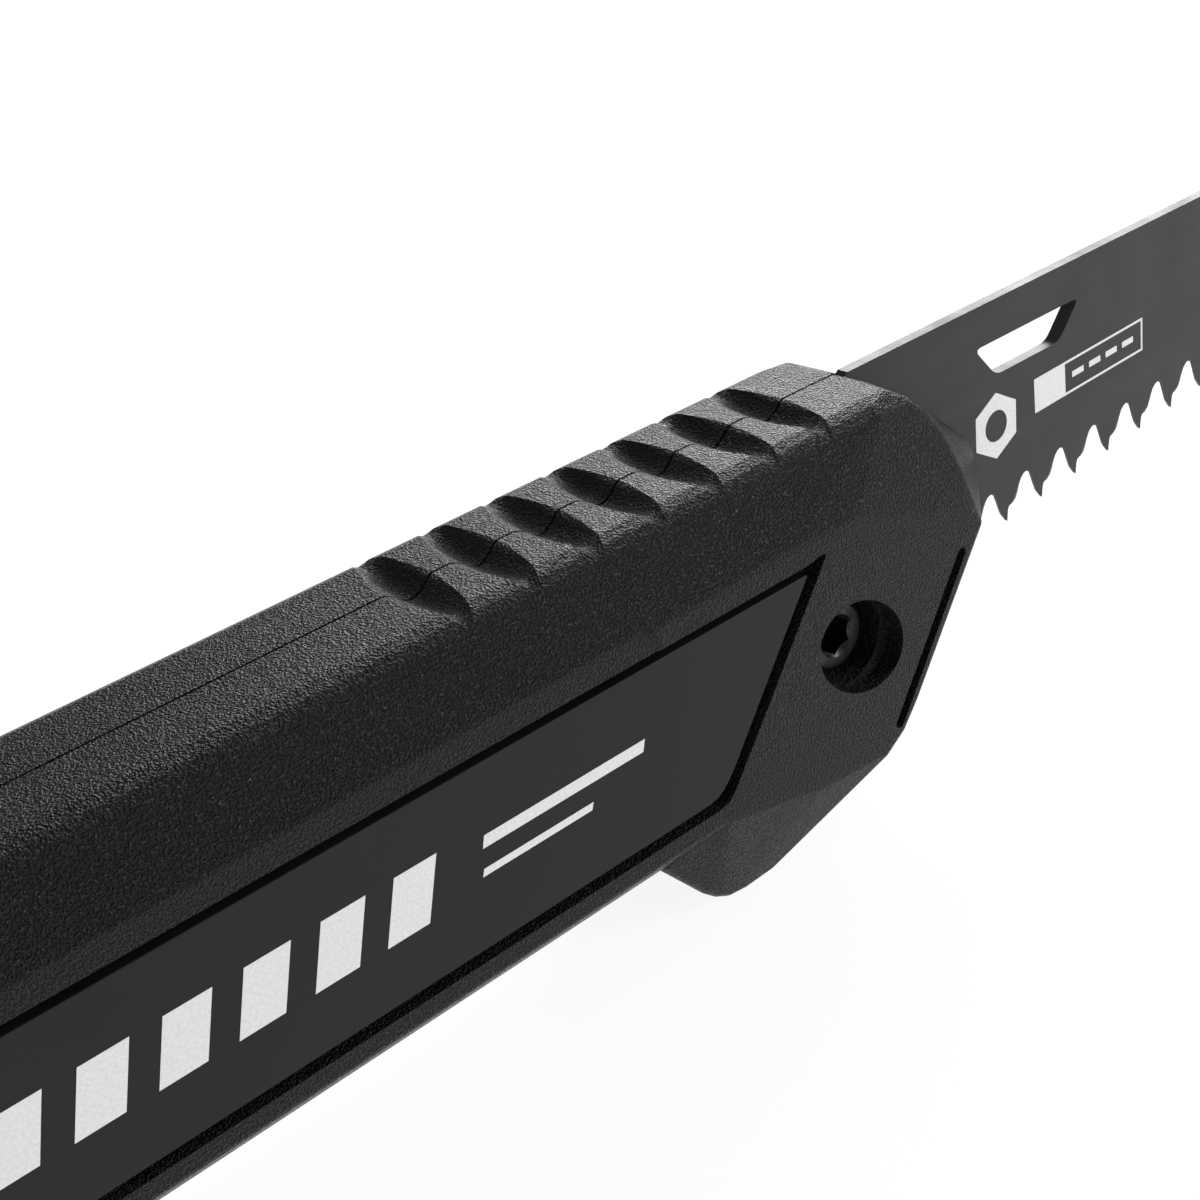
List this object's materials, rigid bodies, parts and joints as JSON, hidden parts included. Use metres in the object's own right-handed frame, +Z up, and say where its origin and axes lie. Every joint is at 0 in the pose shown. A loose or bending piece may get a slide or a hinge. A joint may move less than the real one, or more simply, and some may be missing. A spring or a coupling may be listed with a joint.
{
  "type": "drywall jab saw",
  "caption": "Hand saw with a stiff toothed pointed blade clamped in the front of a faceted two-shell plastic handle with thumb ribs and a finger guard.",
  "frame": {"origin": "middle of the bounding box's base: half way along the saw, on the mid-plane, level with the lowest point of the finger guard", "axes": "+X towards the blade's tip, +Z up with the spine uppermost and the teeth down, +Y to the left side, away from the side with the clamp screw's head"},
  "size_m": [0.314, 0.0268, 0.0472],
  "materials": {
    "blade_coating": "thin dark grey coating on ground steel, bare bright steel on the spine edge",
    "shell_plastic": "black moulded plastic with a coarse spark-eroded grain",
    "panel_plastic": "fine satin black plastic",
    "black_steel": "black oxide on alloy steel",
    "bright_steel": "zinc-plated steel"
  },
  "bodies": {
    "root": {"blade": "blade_coating", "right_shell": "shell_plastic", "left_shell": "shell_plastic", "right_label_panel": "panel_plastic", "left_label_panel": "panel_plastic", "blade_clamp_screw": "black_steel", "blade_clamp_washer": "bright_steel", "blade_spacer_bush": "bright_steel", "blade_clamp_nut": "bright_steel", "tang_pin_front": "bright_steel", "tang_pin_rear": "bright_steel", "alignment_dowel_front": "bright_steel", "alignment_dowel_rear": "bright_steel", "shell_screw_1": "black_steel", "shell_screw_2": "black_steel", "shell_screw_3": "black_steel", "shell_screw_4": "black_steel", "shell_screw_5": "black_steel", "lanyard_eyelet": "bright_steel", "lanyard_eyelet_washer": "bright_steel"}
  },
  "joints": []
}
